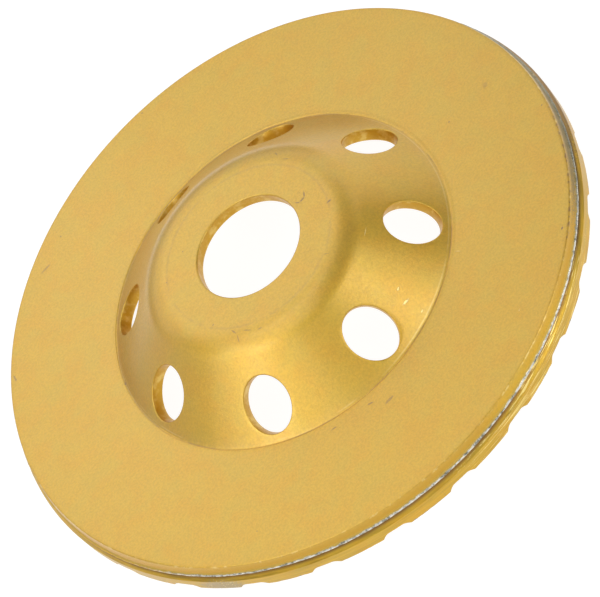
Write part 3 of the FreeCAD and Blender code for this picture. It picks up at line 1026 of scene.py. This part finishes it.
def painted_abrasive(settings):
    """Makes the rim's sintered metal and grit under worn gold paint, with painted shade under the seam and
    painted highlight streaks
    """
    rim, colours = settings.rim, settings.colours
    outer, ledge, top, bevel = (size / MM for size in (rim.outer_radius, rim.ledge, rim.height, rim.bevel))
    material, shader, vector = new_material("Painted Abrasive")
    grain = place_effect(paint_grain, vector, grain_size=0.6, flake_size=0.35)
    lines = place_effect(turned_lines, vector, length=7.0, pitch=0.35)["Lines"]
    pits = fade(speckle(vector, 1.6, 3.0, 0.7), 0.36, 0.27)
    crystals = join_node("ShaderNodeTexVoronoi", {"Vector": vector, "Scale": 1.7})
    crystal = fade(crystals.outputs["Distance"], 0.3, 0.16)

    # Paint that is rubbed off the lower edge, and a patch of bare metal
    uneven_level = add_shares(height_over_face(vector), (speckle(vector, 0.5, 4.0, 0.7), 0.9))
    low_edge = ring_mask(vector, outer, 0.1, width=0.5, break_size=1.6, cover=0.4)
    worn = largest(fade(uneven_level, 0.55, 0.38), low_edge, area_mask(vector, "worn rim"))

    # Painted shade on the bevel under the seam's bead, partly burnt flux, wider and black where the brazing
    # was hottest
    band = ring_mask(vector, outer - 0.76 * ledge, top - 0.3 * bevel, width=0.75, break_size=3.0, cover=0.8)
    low_band = ring_mask(vector, outer - 0.1 * ledge, top - 0.9 * bevel, width=1.1, break_size=4.0, cover=0.9)
    smoked = area_mask(vector, "smoked rim")
    # The painted shade's colour: partly burnt flux, black with soot where the brazing was hottest
    burnt = blend(area_mask(vector, "heated rim"), colours.flux, colours.soot)

    # Painted highlights: bright streaks along the turned lines of the near side
    moved = shift(vector, 0.0, 0.0, 40.0)
    fine = place_effect(turned_lines, moved, length=5.0, pitch=0.13)["Lines"]
    streak_highlights = product(fade(fine, 0.7, 0.95), area_mask(vector, "highlighted rim"))

    tone = add_shares(0.74, (lines, 0.22))
    colour = lay_over(
        shade(drifting_gold(vector, colours, 4.0), tone),
        (pits, colours.shade_and_pit_gold, 0.75),
        (largest(band, product(low_band, smoked)), burnt),
        (smoked, colours.mark),
        (streak_highlights, colours.nick),
        (worn, blend(crystal, colours.sinter, colours.grit)),
    )
    relief = add_shares(0.0, (grain["Height"], 0.03), (lines, 0.02), (pits, -0.05),
                        (product(crystal, worn), 0.08))
    set_inputs(shader, {
        "Base Color": colour,
        "Metallic": 1.0,
        "Roughness": add_shares(0.36, (lines, 0.12)),
        "Coat Weight": 0.6,
        "Coat Roughness": 0.4,
        "Coat IOR": 1.5,
        "Normal": raised_normal(relief),
    })
    return material


# The stage

FLOOR_DROP = 0.02 * MM
FLOOR_SHADE = (0.18, 0.18, 0.18, 1.0)
LAMP_DISTANCE = 0.5

# Soft lamps: name, turn and rise in degrees, size in metres, power in watts
LAMPS = (
    ("Right Lamp Low", -53, 24, 0.2, 0.289),
    ("Right Lamp Near", -64, 42, 0.2, 0.205),
    ("Right Lamp Far", -40, 42, 0.2, 0.116),
    ("Left Lamp", 180, 44, 0.3, 0.39),
    ("Left Lamp Near", -150, 44, 0.3, 0.232),
    ("Left Lamp Far", 140, 20, 0.3, 0.108),
    ("Back Lamp High", 88, 60, 0.3, 0.174),
    ("Back Lamp", 105, 33, 0.3, 0.184),
    ("Back Lamp Right", 70, 33, 0.3, 0.157),
    ("Low Lamp", 29, 23, 0.38, 0.311),
    ("Top Lamp", 167, 75, 0.37, 0.395),
    ("Front Lamp", -111, 32, 0.38, 0.242),
)


def direction(turn, rise):
    """Returns the direction of a turn round the wheel and a rise over the floor"""
    return Vector((math.cos(rise) * math.cos(turn), math.cos(rise) * math.sin(turn), math.sin(rise)))


def add_floor(stage):
    """Adds the plain floor, which looks white and keeps the wheel's shadow"""
    bm = bmesh.new()
    bmesh.ops.create_grid(bm, x_segments=1, y_segments=1, size=stage.floor_size / 2,
                          matrix=Matrix.Translation((0.0, 0.0, -FLOOR_DROP)))
    material = bpy.data.materials.new("Plain Floor")
    tree = new_tree(material)
    matt = add_node(tree, "ShaderNodeBsdfDiffuse", {"Color": stage.floor_colour})
    dim = add_node(tree, "ShaderNodeBsdfDiffuse", {"Color": FLOOR_SHADE})
    glow = add_node(tree, "ShaderNodeEmission", {"Strength": stage.floor_glow})
    seen = join_node("ShaderNodeAddShader", {0: dim.outputs[0], 1: glow.outputs[0]})
    path = add_node(tree, "ShaderNodeLightPath").outputs
    shown = largest(path["Is Camera Ray"], path["Is Glossy Ray"], path["Is Transmission Ray"])
    mixed = join_node("ShaderNodeMixShader", {0: shown, 1: matt.outputs[0], 2: seen.outputs[0]})
    join_node("ShaderNodeOutputMaterial", {"Surface": mixed.outputs[0]})
    floor = place_shape(bm, "floor", material)


def add_room_light(stage):
    """Lights the room evenly from all sides"""
    world = bpy.data.worlds.new("Studio Room")
    bpy.context.scene.world = world
    room = add_node(new_tree(world), "ShaderNodeBackground", {"Color": stage.room_light, "Strength": 1.0})
    join_node("ShaderNodeOutputWorld", {"Surface": room.outputs[0]})


def add_lamp(name, turn, rise, size, power):
    """Adds a soft square lamp that faces the wheel"""
    lamp = bpy.data.lights.new(name, "AREA")
    lamp.shape = "SQUARE"
    lamp.size = size
    lamp.energy = power
    holder = place_object(name, lamp)
    facing = direction(math.radians(turn), math.radians(rise))
    holder.location = facing * LAMP_DISTANCE
    holder.rotation_euler = facing.to_track_quat("Z", "Y").to_euler()


def add_camera(stage):
    """Adds the camera at the photograph's viewing angle"""
    back = direction(stage.camera_turn, stage.camera_rise)
    level = Vector((-math.sin(stage.camera_turn), math.cos(stage.camera_turn), 0.0))
    unrolled = Matrix((level, back.cross(level), back)).transposed()
    axes = unrolled @ Matrix.Rotation(-stage.camera_roll, 3, "Z")
    offset = axes @ Vector((stage.camera_right, stage.camera_up, stage.camera_distance))
    place = Vector((0.0, 0.0, stage.target_height)) + offset
    camera = place_object("Camera", bpy.data.cameras.new("Camera"))
    camera.data.lens = stage.focal_length
    camera.matrix_world = Matrix.Translation(place) @ axes.to_4x4()
    bpy.context.scene.camera = camera


class SetStage(Operator):
    """Set the floor, the lamps and the camera"""

    bl_idname = "wheel.set_stage"
    bl_label = "Set Stage"

    def execute(self, context):
        stage = context.scene.cup_wheel.stage
        add_floor(stage)
        add_room_light(stage)
        for lamp in LAMPS:
            add_lamp(*lamp)
        add_camera(stage)
        context.scene.view_settings.view_transform = "Standard"
        return {"FINISHED"}


# The sidebar panel

class CupWheelPanel(Panel):
    """Lists the steps and settings of the cup wheel"""

    bl_idname = "VIEW3D_PT_cup_wheel"
    bl_label = "Diamond Cup Wheel"
    bl_space_type = "VIEW_3D"
    bl_region_type = "UI"
    bl_category = "Cup Wheel"

    def draw(self, context):
        settings = context.scene.cup_wheel
        for operator, group in (
            (AddPaintedCup, settings.cup),
            (AddBrazedBead, settings.seam),
            (AddGroovedRim, settings.rim),
            (SetStage, settings.stage),
        ):
            box = self.layout.box()
            box.operator(operator.bl_idname)
            for name in type(group).__annotations__:
                box.prop(group, name)
        box = self.layout.box()
        box.label(text="Colours")
        for name in FinishColours.__annotations__:
            box.prop(settings.colours, name)


CLASSES = (CupSizes, SeamSizes, RimSizes, FinishColours, StageSettings, WheelSettings,
           AddPaintedCup, AddBrazedBead, AddGroovedRim, SetStage, CupWheelPanel)


def register():
    """Registers the classes and the scene's settings"""
    for item in CLASSES:
        bpy.utils.register_class(item)
    bpy.types.Scene.cup_wheel = PointerProperty(type=WheelSettings)


def unregister():
    """Removes the scene's settings and the classes"""
    del bpy.types.Scene.cup_wheel
    for item in reversed(CLASSES):
        bpy.utils.unregister_class(item)


def main():
    """Builds the wheel and its stage"""
    register()
    bpy.ops.wheel.add_painted_cup()
    bpy.ops.wheel.add_brazed_bead()
    bpy.ops.wheel.add_grooved_rim()
    bpy.ops.wheel.set_stage()


if __name__ == "__main__":
    main()
